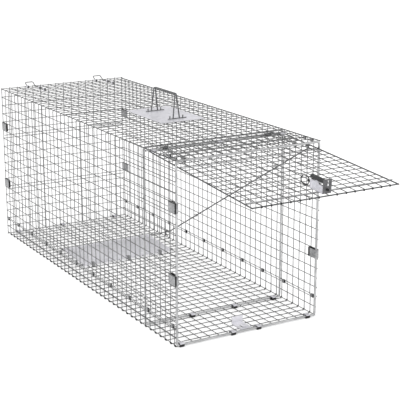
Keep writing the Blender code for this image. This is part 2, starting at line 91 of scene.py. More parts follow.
panel_low, panel_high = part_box("rear_panel_mesh")
SIDE, TOP = panel_high.x, panel_high.z                 # outer faces of the walls and of the roof
REAR = (panel_low.y + panel_high.y) / 2
FRONT_HOOP_LOW, FRONT_HOOP_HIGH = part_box("front_hoop")
MIDDLE_HOOP_LOW, MIDDLE_HOOP_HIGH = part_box("middle_hoop")
FRONT = (FRONT_HOOP_LOW.y + FRONT_HOOP_HIGH.y) / 2
SEAM = SKIRT_CELLS * CELL
LAYER = WIRE / 2                                       # outer layer of wires, inside a face
INNER_LAYER = 3 * WIRE / 2 - SINK

joints = {joint["name"]: joint for joint in frame["joints"]}
HINGE = Vector(joints["door_hinge"]["pos_m"])
BOLT_AXIS = Vector(joints["bolt_slide"]["axis"])
DOOR_TURN = math.atan2(BOLT_AXIS.z, BOLT_AXIS.y)       # set angle of the door about X
DOOR = Matrix.Translation(HINGE) @ Matrix.Rotation(DOOR_TURN, 4, "X")
TREADLE = Vector(joints["treadle_hinge"]["pos_m"])
RING = Vector(joints["ring_swing"]["pos_m"])
LIFT_LOW, LIFT_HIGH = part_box("treadle_lift_wire")
LIFT = Vector((0, (LIFT_LOW.y + LIFT_HIGH.y) / 2, (LIFT_LOW.z + LIFT_HIGH.z) / 2))


# ---- materials ----------------------------------------------------------------------------
def new_material(name):
    """Returns a new material with its nodes, its links and its shader."""
    mat = bpy.data.materials.new(name)
    mat.use_nodes = True
    nodes, links = mat.node_tree.nodes, mat.node_tree.links
    return mat, nodes, links, nodes["Principled BSDF"]


def noise(nodes, links, scale, detail=3.0, stretch=(1, 1, 1)):
    """Noise in the object's own coordinates, returned as its factor socket."""
    coords = nodes.new("ShaderNodeTexCoord")
    mapping = nodes.new("ShaderNodeMapping")
    mapping.inputs["Scale"].default_value = stretch
    texture = nodes.new("ShaderNodeTexNoise")
    texture.inputs["Scale"].default_value = scale
    texture.inputs["Detail"].default_value = detail
    links.new(coords.outputs["Object"], mapping.inputs["Vector"])
    links.new(mapping.outputs["Vector"], texture.inputs["Vector"])
    return texture.outputs["Fac"]


def ramp(nodes, links, factor, stops):
    """Colour ramp over the factor; a stop is (place, grey or colour)."""
    node = nodes.new("ShaderNodeValToRGB")
    while len(node.color_ramp.elements) < len(stops):
        node.color_ramp.elements.new(0.5)
    for element, (place, colour) in zip(node.color_ramp.elements, stops):
        element.position = place
        element.color = (*colour, 1) if isinstance(colour, tuple) else (colour, colour, colour, 1)
    links.new(factor, node.inputs["Fac"])
    return node.outputs["Color"]


def multiplied(nodes, links, a, b):
    """Product of two colour sockets."""
    node = nodes.new("ShaderNodeMix")
    node.data_type = "RGBA"
    node.blend_type = "MULTIPLY"
    node.inputs["Factor"].default_value = 1.0
    links.new(a, node.inputs["A"])
    links.new(b, node.inputs["B"])
    return node.outputs["Result"]


def bump(nodes, links, shader, height, strength, distance=0.0002):
    """Raises the surface by the height socket."""
    node = nodes.new("ShaderNodeBump")
    node.inputs["Strength"].default_value = strength
    node.inputs["Distance"].default_value = distance
    links.new(height, node.inputs["Height"])
    links.new(node.outputs["Normal"], shader.inputs["Normal"])


def wire_material(name, dark, light, metallic=0.85, rough=(0.30, 0.52)):
    """Galvanised wire: cloudy zinc, thin drawn streaks and a slightly lumpy coat."""
    mat, nodes, links, shader = new_material(name)
    cloud = noise(nodes, links, 55.0, 4.0)
    grain = noise(nodes, links, 900.0, 2.0)
    base = ramp(nodes, links, cloud, [(0.30, dark), (0.72, light)])
    specks = ramp(nodes, links, grain, [(0.36, 0.72), (0.56, 1.0)])
    links.new(multiplied(nodes, links, base, specks), shader.inputs["Base Color"])
    links.new(ramp(nodes, links, grain, [(0.3, rough[0]), (0.7, rough[1])]), shader.inputs["Roughness"])
    shader.inputs["Metallic"].default_value = metallic
    bump(nodes, links, shader, grain, 0.35)
    return mat


def sheet_material(name, dark, light, metallic=0.75, spangle=130.0):
    """Galvanised sheet: zinc spangle, rolling marks and rubbed, duller patches."""
    mat, nodes, links, shader = new_material(name)
    coords = nodes.new("ShaderNodeTexCoord")
    cells = nodes.new("ShaderNodeTexVoronoi")
    cells.inputs["Scale"].default_value = spangle
    links.new(coords.outputs["Object"], cells.inputs["Vector"])
    flakes = nodes.new("ShaderNodeSeparateColor")
    links.new(cells.outputs["Color"], flakes.inputs["Color"])
    base = ramp(nodes, links, flakes.outputs["Red"], [(0.0, dark), (1.0, light)])
    dull = ramp(nodes, links, noise(nodes, links, 14.0, 5.0), [(0.35, 0.86), (0.65, 1.0)])
    links.new(multiplied(nodes, links, base, dull), shader.inputs["Base Color"])
    links.new(ramp(nodes, links, flakes.outputs["Green"], [(0.0, 0.30), (1.0, 0.48)]),
              shader.inputs["Roughness"])
    shader.inputs["Metallic"].default_value = metallic
    bump(nodes, links, shader, noise(nodes, links, 260.0, 3.0, (1, 0.15, 1)), 0.12)
    return mat


def dark_material(name, colour, worn, metallic, rough):
    """Blackened or cut steel, or plastic, with edges and specks rubbed lighter."""
    mat, nodes, links, shader = new_material(name)
    scuffs = noise(nodes, links, 320.0, 6.0)
    links.new(ramp(nodes, links, scuffs, [(0.50, colour), (0.74, worn)]), shader.inputs["Base Color"])
    links.new(ramp(nodes, links, scuffs, [(0.3, rough), (0.8, min(1.0, rough + 0.25))]),
              shader.inputs["Roughness"])
    shader.inputs["Metallic"].default_value = metallic
    bump(nodes, links, shader, scuffs, 0.25)
    return mat


MESH_ZINC = wire_material("mesh zinc", (0.15, 0.151, 0.153), (0.29, 0.292, 0.295))
HEAVY_ZINC = wire_material("heavy wire zinc", (0.32, 0.323, 0.327), (0.48, 0.484, 0.49), rough=(0.36, 0.56))
HOOP_ZINC = wire_material("hoop zinc", (0.40, 0.403, 0.408), (0.58, 0.584, 0.59), 0.9, (0.25, 0.40))
# Lighter than the front hoop's zinc: painted light, offsetting the shade on the middle hoop under the roof.
LIT_INNER_HOOP_ZINC = wire_material("middle hoop zinc, painted light", (0.46, 0.464, 0.47), (0.64, 0.645, 0.65), 0.9,
                                (0.25, 0.42))
# Dark zinc; on the roof's edge wires it is painted shade.
FRAME_ZINC = wire_material("door frame zinc", (0.070, 0.072, 0.075), (0.16, 0.163, 0.167))
SPRING_STEEL = wire_material("spring steel", (0.11, 0.113, 0.117), (0.23, 0.234, 0.24), 0.9, (0.25, 0.42))
SHEET_ZINC = sheet_material("plate zinc", (0.71, 0.705, 0.75), (0.82, 0.815, 0.87), 0.35)
# A lighter copy of the plate zinc for the treadle and the strike: painted light, offsetting the shade under
# the roof.
LIT_PLATE_ZINC = sheet_material("plate zinc, painted light", (0.82, 0.815, 0.86), (0.90, 0.895, 0.95), 0.2)
CLIP_ZINC = sheet_material("clip zinc", (0.26, 0.262, 0.27), (0.42, 0.424, 0.43), 0.95, 300.0)
# Dark steel for cut ends and cut edges, also used as painted shade on bends, hooks, sleeve insides and clip
# jaws.
CUT_STEEL_AND_SHADE = dark_material("cut ends and painted shade", (0.010, 0.010, 0.011), (0.07, 0.065, 0.06), 0.3, 0.55)
BLACKENED = dark_material("blackened steel", (0.014, 0.014, 0.015), (0.08, 0.08, 0.085), 0.4, 0.38)
LOCK_STEEL = sheet_material("lock steel", (0.70, 0.695, 0.75), (0.86, 0.855, 0.92), 0.5, 420.0)
FACE_STEEL = sheet_material("lock face steel", (0.11, 0.11, 0.114), (0.18, 0.18, 0.187), 0.8, 420.0)
GRIP_PLASTIC = dark_material("grip plastic", (0.020, 0.021, 0.023), (0.06, 0.06, 0.064), 0.0, 0.38)


# ---- mesh building ------------------------------------------------------------------------
def rounded(points, radius, steps=5, closed=False):
    """Returns the path through the points with every corner turned into an arc."""
    pts = [Vector(p) for p in points]
    count = len(pts)
    path = []
    for i, corner in enumerate(pts):
        if not closed and i in (0, count - 1):
            path.append(corner)
            continue
        to_last = (pts[i - 1] - corner).normalized()
        to_next = (pts[(i + 1) % count] - corner).normalized()
        half = to_last.angle(to_next) / 2
        centre = corner + (to_last + to_next).normalized() * radius / math.sin(half)
        start = (corner + to_last * radius / math.tan(half) - centre).normalized()
        end = (corner + to_next * radius / math.tan(half) - centre).normalized()
        path += [centre + radius * start.slerp(end, s / steps) for s in range(steps + 1)]
    return path


def add_tube(bm, path, radius, sides=8, closed=False, burr=0.0, dark=None):
    """A round wire along the path. Its cut ends take the second material: uncoated steel, darkened further as
    painted shade.

    burr is the length of the sheared, dark tip at each end, uncoated steel darkened further as painted shade;
    dark tells which places of the wire's surface take painted shade.
    """
    pts = [Vector(p) for p in path]
    if burr:
        pts.insert(1, pts[0] + (pts[1] - pts[0]).normalized() * burr)
        pts.insert(-1, pts[-1] + (pts[-2] - pts[-1]).normalized() * burr)
    count = len(pts)
    tangents = []
    for i in range(count):
        ahead = pts[(i + 1) % count] if closed or i < count - 1 else pts[i]
        behind = pts[i - 1] if closed or i > 0 else pts[i]
        tangents.append((ahead - behind).normalized())
    side = tangents[0].orthogonal().normalized()
    rings = []
    for point, tangent in zip(pts, tangents):
        side = (side - tangent * side.dot(tangent)).normalized()
        up = tangent.cross(side)
        turns = [2 * math.pi * (k + 0.5) / sides for k in range(sides)]
        rings.append([bm.verts.new(point + radius * (math.cos(a) * side + math.sin(a) * up))
                      for a in turns])
    pairs = list(zip(rings, rings[1:])) + ([(rings[-1], rings[0])] if closed else [])
    for i, (near, far) in enumerate(pairs):
        sheared = burr and i in (0, len(pairs) - 1)
        for k in range(sides):
            face = bm.faces.new((near[k], near[(k + 1) % sides], far[(k + 1) % sides], far[k]))
            face.smooth = True
            # Sheared tips (uncoated steel and painted shade) and the places dark tells (painted shade) take
            # the second material.
            face.material_index = 1 if sheared or dark and dark(face.calc_center_median()) else 0
    if not closed:
        for ring in (list(reversed(rings[0])), rings[-1]):
            bm.faces.new(ring).material_index = 1


def piece(name, bm, materials, body, replaces=(), matrix=None):
    """Turns the mesh into a shown piece that rides on a body and stands for CAD nodes.

    A piece without a body is not attached to any.
    """
    data = bpy.data.meshes.new(name)
    if matrix is not None:
        bm.transform(matrix)
    bm.to_mesh(data)
    bm.free()
    obj = bpy.data.objects.new(name, data)
    bpy.context.scene.collection.objects.link(obj)
    for mat in materials:
        data.materials.append(mat)
    if body:
        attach(obj, body)
    if replaces:
        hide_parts(*replaces)
    return obj


def wires(name, paths, diameter, material, body, replaces=(), matrix=None,
          closed=False, sides=8, burr=0.0, dark=None):
    """One piece made of round wires of one size."""
    bm = bmesh.new()
    for path in paths:
        add_tube(bm, path, diameter / 2, sides, closed, burr, dark)
    return piece(name, bm, [material, CUT_STEEL_AND_SHADE], body, replaces, matrix)


def bent_sheet(name, outline, half_width, thickness, materials, body, replaces=(), matrix=None,
               closed=False, dark=None, inside=None):
    """Sheet whose middle surface is the outline swept by half_width both ways, with cut edges.

    A closed one has painted shade inside unless told otherwise, and dark tells which places of its
    outside take painted shade.
    """
    half = Vector(half_width)
    bm = bmesh.new()
    rows = [(bm.verts.new(Vector(p) - half), bm.verts.new(Vector(p) + half)) for p in outline]
    following = rows[1:] + rows[:1] if closed else rows[1:]
    for (a, b), (c, d) in zip(rows, following):
        face = bm.faces.new((a, b, d, c))
        face.smooth = True
        face.material_index = 1 if dark and dark(face.calc_center_median()) else 0
    if closed:
        bmesh.ops.recalc_face_normals(bm, faces=bm.faces)
    obj = piece(name, bm, materials, body, replaces, matrix)
    thick = obj.modifiers.new("sheet", "SOLIDIFY")
    thick.thickness = thickness
    thick.offset = 0
    thick.use_even_offset = True
    # A closed sheet's inside takes the second material: painted shade.
    thick.material_offset = (1 if closed else 0) if inside is None else inside
    # Cut edges take the second material: uncoated steel, darkened further as painted shade.
    thick.material_offset_rim = 1
    soften(obj, 0.00015).angle_limit = math.radians(50)
    return obj


def soften(obj, width):
    """Takes the sharpness off the edges."""
    edges = obj.modifiers.new("rubbed edges", "BEVEL")
    edges.width = width
    edges.segments = 2
    edges.limit_method = "ANGLE"
    return edges


def cut(obj, bm, place):
    """Cuts the shape out of a piece, for good."""
    data = bpy.data.meshes.new("cut shape")
    bm.to_mesh(data)
    bm.free()
    tool = bpy.data.objects.new("cut shape", data)
    tool.location = place
    bpy.context.scene.collection.objects.link(tool)
    mod = obj.modifiers.new("cut", "BOOLEAN")
    mod.object = tool
    mod.solver = "EXACT"
    bpy.context.view_layer.update()
    done = bpy.data.meshes.new_from_object(obj.evaluated_get(bpy.context.evaluated_depsgraph_get()))
    obj.modifiers.clear()
    obj.data = done
    bpy.data.objects.remove(tool)


def box_faces(bm, low, high):
    """Adds a box to the mesh."""
    made = bmesh.ops.create_cube(bm, size=1)["verts"]
    size = Vector(high) - Vector(low)
    bmesh.ops.scale(bm, vec=size, verts=made)
    bmesh.ops.translate(bm, vec=(Vector(low) + Vector(high)) / 2, verts=made)


def wavy(start, end, across):
    """A nearly straight wire: it is laid a little off its place and bows very slightly."""
    start, end, across = Vector(start), Vector(end), Vector(across)
    shift = across * random.uniform(-JITTER, JITTER)
    count = max(2, round((end - start).length / BOW))
    path = []
    for i in range(count + 1):
        sway = across * random.uniform(-JITTER, JITTER) * (0.6 if 0 < i < count else 0.0)
        path.append(start.lerp(end, i / count) + shift + sway)
    return path


def span(first, last):
    """Whole numbers from first to last, both included."""
    return range(first, last + 1)


def loop_path(x_low, x_high, y, z_low, z_high, radius=FOLD):
    """Closed path round the sides of an upright box that lies across the cage at y."""
    corners = [(x_low, y, z_low), (x_high, y, z_low), (x_high, y, z_high), (x_low, y, z_high)]
    return rounded(corners, radius, 4, closed=True)


def sleeve(name, outline, half_width, body="cage", replaces=(), matrix=None, bright=False, dark=None,
           sheet=CLIP, edge=None, inside=None):
    """A closed sleeve of clip sheet, with black cut edges, partly painted shade, unless edge names another
    material.
    """
    materials = [SHEET_ZINC if bright else CLIP_ZINC, edge or CUT_STEEL_AND_SHADE]
    return bent_sheet(name, outline, half_width, sheet, materials, body, replaces, matrix, closed=True,
                      dark=dark, inside=inside)


# ---- the cage -----------------------------------------------------------------------------
FRONT_END = FRONT_HOOP_LOW.y + 0.0010       # the lengthwise wires end on the front hoop
REAR_END = REAR + WIRE
ROWS = [CELL * n for n in span(-20, 20)]  # places of the crosswise wires


def painted_shade_at_bend(p):
    """Tells the outer side of the tray's bends, which takes painted shade."""
    outside = p.z < LAYER + 0.0002 or abs(p.x) > SIDE - LAYER - 0.0002
    return p.z < SHADED_TOP and abs(p.x) > SIDE - SHADED_REACH and outside


def make_tray():
    """Floor sheet with its two long edges bent up. The crosswise wires wrap the corners."""
    x, top = SIDE - LAYER, SEAM - SEAM_GAP
    inner = SIDE - INNER_LAYER
    paths = []
    for y in [*ROWS, FRONT_HOOP_HIGH.y + LAYER + 0.0004]:
        y += random.uniform(-JITTER, JITTER)
        bend = rounded([(-x, y, top), (-x, y, LAYER), (x, y, LAYER), (x, y, top)], TRAY_BEND)
        middle = len(bend) // 2
        # The extra points mark where the painted shade of each bend ends.
        stops = [Vector((side * (x - BEND_SHADE_STOP), y, LAYER)) for side in (-1, 1)]
        risers = [Vector((side * x, y, BEND_SHADE_RISE)) for side in (-1, 1)]
        paths.append([bend[0], risers[0], *bend[1:middle], *stops, *bend[middle:-1], risers[1], bend[-1]])
    # Dark tubes over each bend: painted shade.
    bend_shade_tubes = [[p + Vector((0, 0, BEND_SHADE_LIFT)) for p in path[start:start + 6]] for path in paths
             for start in (2, len(path) - 8)]
    wires("tray_corner_painted_shade", bend_shade_tubes, BEND_SHADE_WIRE, CUT_STEEL_AND_SHADE, "cage")
    stop = FRONT_HOOP_HIGH.y
    for n in span(-7, 7):
        paths.append(wavy((n * CELL, REAR_END, INNER_LAYER), (n * CELL, stop, INNER_LAYER), (1, 0, 0)))
    tuck = 0.0012                 # the corner wires lie inside the bends
    for sign in (-1, 1):
        x, z = sign * (inner - tuck), INNER_LAYER + tuck
        paths.append(wavy((x, REAR_END, z), (x, stop, z), (0, 0, 0)))
        paths.append(wavy((sign * inner, REAR_END, CELL), (sign * inner, FRONT_END, CELL), (0, 0, 1)))
    nodes = [f"{part}_{end}" for end in ("front", "rear") for part in
             ("floor_mesh", "skirt_mesh_left", "skirt_mesh_right")]
    # The outer side of each bend takes painted shade.
    wires("tray_mesh", paths, WIRE, MESH_ZINC, "cage", nodes, burr=BURR, dark=painted_shade_at_bend)
    edge = SEAM - LAYER - EDGE_GAP
    wires("tray_edge_wires", [wavy((sign * inner, REAR_END, edge), (sign * inner, FRONT_END, edge), (0, 0, 1))
                              for sign in (-1, 1)], WIRE, HEAVY_ZINC, "cage", burr=BURR)


def make_cover():
    """Walls and roof bent from one sheet. The lengthwise wires lie outside."""
    x, roof, foot = SIDE - INNER_LAYER, TOP - INNER_LAYER, SEAM + SEAM_GAP
    paths = []
    for y in ROWS:
        y += random.uniform(-JITTER, JITTER)
        paths.append(rounded([(-x, y, foot), (-x, y, roof), (x, y, roof), (x, y, foot)], ROOF_BEND))
    ends = REAR_END, FRONT_END
    for n in span(-7, 7):
        paths.append(wavy((n * CELL, ends[0], TOP - LAYER), (n * CELL, ends[1], TOP - LAYER), (1, 0, 0)))
    for sign in (-1, 1):
        face = sign * (SIDE - LAYER)
        for n in span(SKIRT_CELLS + 1, CELLS_HIGH - 1):
            z = n * CELL - (FINGER_ROOM if sign > 0 and n == CELLS_HIGH - 1 else 0)
            paths.append(wavy((face, ends[0], z), (face, ends[1], z), (0, 0, 1)))
    nodes = [f"{part}_{end}" for end in ("front", "rear") for part in
             ("roof_mesh", "wall_mesh_left", "wall_mesh_right")]
    wires("cover_mesh", paths, WIRE, MESH_ZINC, "cage", nodes, burr=BURR)
    inset = 0.0034
    # The roof's edge wires take the dark frame zinc: painted shade.
    wires("roof_edge_wires", [[(sign * (SIDE - inset), y, TOP - inset) for y in ends] for sign in (-1, 1)],
          STIFFENER, FRAME_ZINC, "cage", burr=BURR)
    edge, face = SEAM + LAYER + EDGE_GAP, SIDE - LAYER
    wires("cover_edge_wires", [wavy((sign * face, ends[0], edge), (sign * face, ends[1], edge), (0, 0, 1))
                               for sign in (-1, 1)], WIRE, HEAVY_ZINC, "cage", burr=BURR)


def make_rear_panel():
    """Closed end: upright wires outside, level wires inside, and two stiffening wires."""
    outer, inner = panel_high.y - LAYER, panel_high.y - INNER_LAYER
    paths = []
    for n in span(-8, 8):
        x = max(-SIDE + WIRE, min(SIDE - WIRE, n * CELL))
        paths.append(wavy((x, outer, LAYER), (x, outer, TOP - 0.0006), (1, 0, 0)))
    for n in span(0, CELLS_HIGH):
        z = max(LAYER, min(TOP - 0.0020, n * CELL))
        paths.append(wavy((-SIDE, inner, z), (SIDE, inner, z), (0, 0, 1)))
    wires("rear_mesh", paths, WIRE, MESH_ZINC, "cage", ["rear_panel_mesh"])
    stiff = inner - WIRE / 2 - STIFFENER / 2 + SINK
    reach = SIDE - 2 * WIRE
    wires("rear_stiffeners", [[(-reach, stiff, z * CELL), (reach, stiff, z * CELL)] for z in (5.65, 12.36)],
          STIFFENER, HEAVY_ZINC, "cage", sides=10)


def make_hoops():
    """Heavy wire frames round the mouth and at the door's hinge."""
    # The middle hoop takes a lighter zinc than the front hoop: painted light.
    for name, low, high, zinc in (("front_hoop", FRONT_HOOP_LOW, FRONT_HOOP_HIGH, HOOP_ZINC),
                                  ("middle_hoop", MIDDLE_HOOP_LOW, MIDDLE_HOOP_HIGH, LIT_INNER_HOOP_ZINC)):
        size = high.y - low.y
        r, y = size / 2, (low.y + high.y) / 2
        corners = [(low.x + r, y, low.z + r), (high.x - r, y, low.z + r),
                   (high.x - r, y, high.z - r), (low.x + r, y, high.z - r)]
        wires(name + "_wire", [rounded(corners, 0.0065, 8, closed=True)], size, zinc, "cage", [name],
              closed=True, sides=16)


def make_corner_clips():
    """Sleeves on the cage's upright corners, with painted shade where the photograph shows them dark."""
    lip = 0.0090                  # a clip's far edge, back from its end
    for side in ("left", "right"):
        for level in ("lower", "upper"):
            for end in ("front", "rear"):
                node = f"{end}_clip_{side}_{level}"
                low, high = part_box(node)
                half = CLIP / 2
                z = (low.z + high.z) / 2
                corners = [(low.x + half, low.y + half, z), (high.x - half, low.y + half, z),
                           (high.x - half, high.y - half, z), (low.x + half, high.y - half, z)]
                # The places that dark names take painted shade.
                if end == "front" and side == "left":
                    dark = (lambda p, bend=low.y + 0.0022: p.y < bend and p.x < -SIDE + 0.0040)
                elif end == "front":
                    dark = (lambda p, bend=high.y - lip: p.y > bend)
                else:
                    dark = (lambda p, bend=low.y + 0.0016: p.y < bend) if side == "left" else None
                outline = rounded(corners, 0.32 * (high.x - low.x), 6, closed=True)
                outline.append(Vector((low.x + half, high.y - lip, z)))
                sleeve(node + "_sleeve", outline, (0, 0, (high.z - low.z) / 2), replaces=[node], dark=dark,
                       sheet=CORNER_CLIP)


SEAM_RINGS = {"left": (20.6, 17.5, 13.4, 9.1, 5.15, 0.94, -3.25, -7.4, -11.6, -15.5, -20.4),
              "right": (20.4, 17.2, 13.1, 9.0, 4.9, 0.8, -3.3, -7.4, -11.4, -15.4, -20.4)}


def make_seam_rings():
    """Crimped sleeves that tie the tray to the cover along both seams, at places in cells."""
    x_in, x_out, tall = SIDE - 2 * WIRE - CLIP / 2, SIDE + CLIP / 2, 0.0048
    for side, sign in (("left", -1), ("right", 1)):
        for number, place in enumerate(SEAM_RINGS[side], 1):
            outline = loop_path(sign * x_in, sign * x_out, place * CELL, SEAM - tall, SEAM + tall)
            sleeve(f"seam_ring_{side}_{number}", outline, (0, 0.0040, 0))


def make_floor_clips():
    """Small folded clips that tie the floor to the hoops and to the rear panel."""
    middle = (MIDDLE_HOOP_LOW.y + MIDDLE_HOOP_HIGH.y) / 2
    rows = {"front": (FRONT, FRONT + 0.0060, (-7.4, -1.7, 1.2, 7.0), 0.0092),
            "middle": (middle - 0.0052, middle + 0.0010, (-2.7, 2.25, 7.0), 0.0084),
            "rear": (REAR - 0.0080, REAR, (-6.7, -0.8, 6.5), 0.0056)}
    for row, (y_front, y_back, places, top) in rows.items():
        low, high, bottom = y_front - 0.0040, y_back + 0.0030, FLOOR_CLIP / 2

        # The lower front jaw and the underside of each clip take painted shade.
        def jaw_shade(p, jaw_y=low + 0.0010, jaw_z=top * 0.55):
            return p.y < jaw_y and p.z < jaw_z or p.z < 0.0012

        for number, place in enumerate(places, 1):
            x = place * CELL
            corners = [(x, low, bottom), (x, high, bottom), (x, high, top), (x, low, top)]
            sleeve(f"{row}_floor_clip_{number}", rounded(corners, FOLD, 4, closed=True), (0.0060, 0, 0),
                   bright=True, sheet=FLOOR_CLIP, inside=0, dark=jaw_shade)


# ---- roof fittings ------------------------------------------------------------------------
def make_handle():
    """Guard plate on the roof, two handle wires through it and two keeper wires across them."""
    low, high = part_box("handle_guard_plate")
    x, y, z = (low.x + high.x) / 2, (low.y + high.y) / 2, (low.z + high.z) / 2
    half_x, half_y = (high.x - low.x) / 2, (high.y - low.y) / 2
    bm = bmesh.new()
    outline = rounded([(-half_x, -half_y, 0), (half_x, -half_y, 0), (half_x, half_y, 0),
                       (-half_x, half_y, 0)], 0.0030, 4, closed=True)
    bm.faces.new([bm.verts.new(p) for p in outline])
    plate = piece("guard_plate", bm, [SHEET_ZINC, CUT_STEEL_AND_SHADE], "cage", ["handle_guard_plate"],
                  Matrix.Translation((x, y, z)))
    thick = plate.modifiers.new("sheet", "SOLIDIFY")
    thick.thickness = PLATE
    thick.offset = 0
    thick.material_offset_rim = 1
    inner_low, outer_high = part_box("handle_wire_left")
    under, grip_z = inner_low.z + ROD / 2, outer_high.z - ROD / 2
    near, far = inner_low.y + ROD / 2, outer_high.y - ROD / 2
    leg, stub, rise, lean = 0.0105, 0.0195, 0.0080, 0.0030
    for side, sign in (("left", -1), ("right", 1)):
        stubs = [[(x + sign * stub, end, z + rise), (x + sign * stub, end, under),
                  (x + sign * leg, end, under)] for end in (far, near)]
        grip = [(x + sign * (ROD / 2 + 0.0001), end, grip_z) for end in (far - lean, near + lean)]
        wires(f"handle_{side}_wire", [rounded([*stubs[0], *grip, *reversed(stubs[1])], 0.0042, 6)],
              ROD - ROD_TRIM, SPRING_STEEL, "cage", ["handle_wire_" + side], sides=12)
    for end in ("rear", "front"):
        low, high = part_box("handle_keeper_" + end)
        y, z = (low.y + high.y) / 2, (low.z + high.z) / 2
        path = [(low.x + 0.0001, y, z), (high.x - 0.0001, y, z)]
        wires(f"keeper_{end}_wire", [path], SPRING, SPRING_STEEL, "cage", ["handle_keeper_" + end],
              sides=10)


def make_rear_hooks():
    """Two bent wires that reach over the roof's rear edge, each held by three clips."""
    r, back_off, half = 0.0014, 0.014, 0.0030
    for side in ("left", "right"):
        low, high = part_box("rear_hook_" + side)
        left, right, back = low.x + r, high.x - r, high.y - r
        lie, rise = low.z + r, high.z - r
        path = rounded([(right, low.y, lie), (right, back - back_off, lie), (right, back, rise),
                        (left, back, rise), (left, back - back_off, lie), (left, back - CELL, lie)],
                       0.0045, 6)
        wires(f"rear_{side}_hook", [path], 2 * r, MESH_ZINC, "cage", ["rear_hook_" + side], sides=12)
        for number, (place, along) in enumerate(((right, 0.052), (right, 0.088), (left, 0.022)), 1):
            outline = loop_path(place - half, place + half, back - along,
                                TOP - 2 * WIRE - 0.0002, lie + 0.0022)
            sleeve(f"hook_{side}_clip_{number}", outline, (0, 0.0040, 0), bright=True, edge=CLIP_ZINC,
                   inside=0)


def make_stops():
    """Two bent wires under the roof that bear on the set door, each held by two clips."""
    half = 0.0028
    for side in ("left", "right"):
        low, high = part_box("door_stop_" + side)
        x, lie = (low.x + high.x) / 2, high.z - SPRING / 2
        dip = low.z + SPRING / 2
        path = rounded([(x, high.y, lie), (x, high.y - 0.0060, lie), (x, high.y - 0.0100, dip),
                        (x, high.y - 0.0140, lie), (x, low.y, lie)], 0.0016, 4)
        wires(f"stop_{side}_wire", [path], SPRING, SPRING_STEEL, "cage", ["door_stop_" + side],
              sides=10)
        for number, y in enumerate((high.y - 0.030, low.y + 0.012), 1):
            outline = loop_path(x - half, x + half, y, dip + 0.0042, TOP + CLIP / 2, 0.0016)
            sleeve(f"stop_{side}_clip_{number}", outline, (0, 0.0030, 0), inside=0)


def make_hinge():
    """Hinge rod, and torsion springs whose door legs follow the door."""
    low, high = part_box("door_hinge_rod")
    axis_y, axis_z = HINGE.y, HINGE.z
    wires("hinge_rod", [[(low.x, axis_y, axis_z), (high.x, axis_y, axis_z)]], high.z - low.z, HOOP_ZINC,
          "cage", ["door_hinge_rod"], sides=14)
    coil_r, turns, per_turn = 0.0045, 6, 20
    for side, sign in (("left", -1), ("right", 1)):
        low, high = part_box("hinge_spring_" + side)
        width = high.x - low.x - SPRING
        middle = (low.x + high.x) / 2
        coil = []
        steps = round((turns - 0.25) * per_turn)
        for i in range(steps + 1):
            angle = math.pi + 2 * math.pi * i / per_turn
            coil.append(Vector((width * i / steps, coil_r * math.cos(angle), coil_r * math.sin(angle))))
        lie = high.z - SPRING / 2 - axis_z
        drop = math.sin(DOOR_TURN)
        upper = rounded([(0, -0.0600, lie), (0, -coil_r, lie), (0, -coil_r, 0.0)], 0.0030, 5)
        lower = [Vector((width, y, coil_r + y * drop)) for y in (-0.012, -0.060, -0.110)]
        path = [*upper[:-1], *coil, *lower]
        place = Matrix.Translation((middle, axis_y, axis_z)) @ Matrix.Diagonal((sign, 1, 1, 1))
        points = [place @ Vector((p.x - width / 2, p.y, p.z)) for p in path]
        spring = wires(f"{side}_hinge_spring", [points], SPRING, SPRING_STEEL, None,
                       ["hinge_spring_" + side], sides=10)
        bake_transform(spring)


def make_strike():
    """Angle plate on the floor, with a slot in its foot for the bolt."""
    low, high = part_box("strike_plate")
    x, half = (low.x + high.x) / 2, (high.x - low.x) / 2
    foot = low.z + PLATE / 2
    back = high.y - PLATE / 2
    path = rounded([(x, back, high.z), (x, back, foot), (x, low.y, foot)], 0.0018, 6)
    # The strike takes the lighter plate zinc: painted light.
    plate = bent_sheet("strike", path, (half, 0, 0), PLATE, [LIT_PLATE_ZINC, CUT_STEEL_AND_SHADE], "cage", ["strike_plate"])
    bm = bmesh.new()
    bmesh.ops.create_cube(bm, size=1)
    bmesh.ops.scale(bm, vec=(0.0080, 0.0130, 0.02), verts=bm.verts)
    upright = [e for e in bm.edges if abs(e.verts[0].co.z - e.verts[1].co.z) > 0.01]
    bmesh.ops.bevel(bm, geom=upright, offset=0.0012, segments=3, affect="EDGES")
    cut(plate, bm, (RING.x, -0.5090, foot))


# ---- the door -----------------------------------------------------------------------------
DOOR_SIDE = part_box("door_side_wire_right")[1].x - EDGE / 2     # middle of the side wires
DOOR_TIP = 0.4534                  # hinge axis to the middle of the free edge's wire
DOOR_TOP, DOOR_LEVEL = -0.0100, -0.0004                # place and height of the wire at the hinge
DOOR_CELLS = 16
OVER = DOOR_LEVEL + EDGE / 2 + WIRE / 2 - SINK         # heights of the mesh's two layers
UNDER = OVER - WIRE + SINK


def make_door_frame():
    """Two side wires and the tip wire, and the wire beside the hinge."""
    x, top, low = DOOR_SIDE, DOOR_TOP, DOOR_LEVEL
    end = -DOOR_TIP - EDGE / 2
    rim = [[(sign * x, end, low), (sign * x, top + EDGE / 2, low)] for sign in (-1, 1)]
    tip = [(-x, -DOOR_TIP, low), (x, -DOOR_TIP, low)]
    wires("door_frame", [*rim, tip], EDGE, FRAME_ZINC, "door",
          ["door_side_wire_left", "door_side_wire_right", "door_tip_wire"], DOOR, sides=12, burr=BURR)
    wires("door_hinge_edge", [[(-x, top, low), (x, top, low)]], EDGE, HOOP_ZINC, "door",
          ["door_hinge_wire"], DOOR, sides=12)


def painted_shade_at_tip(p):
    """Tells where the door's mesh is hooked round the tip wire; these places take painted shade."""
    return p.y < -DOOR_TIP - 0.0010 or p.y < -DOOR_TIP + 0.0030 and p.z < DOOR_LEVEL - 0.0010


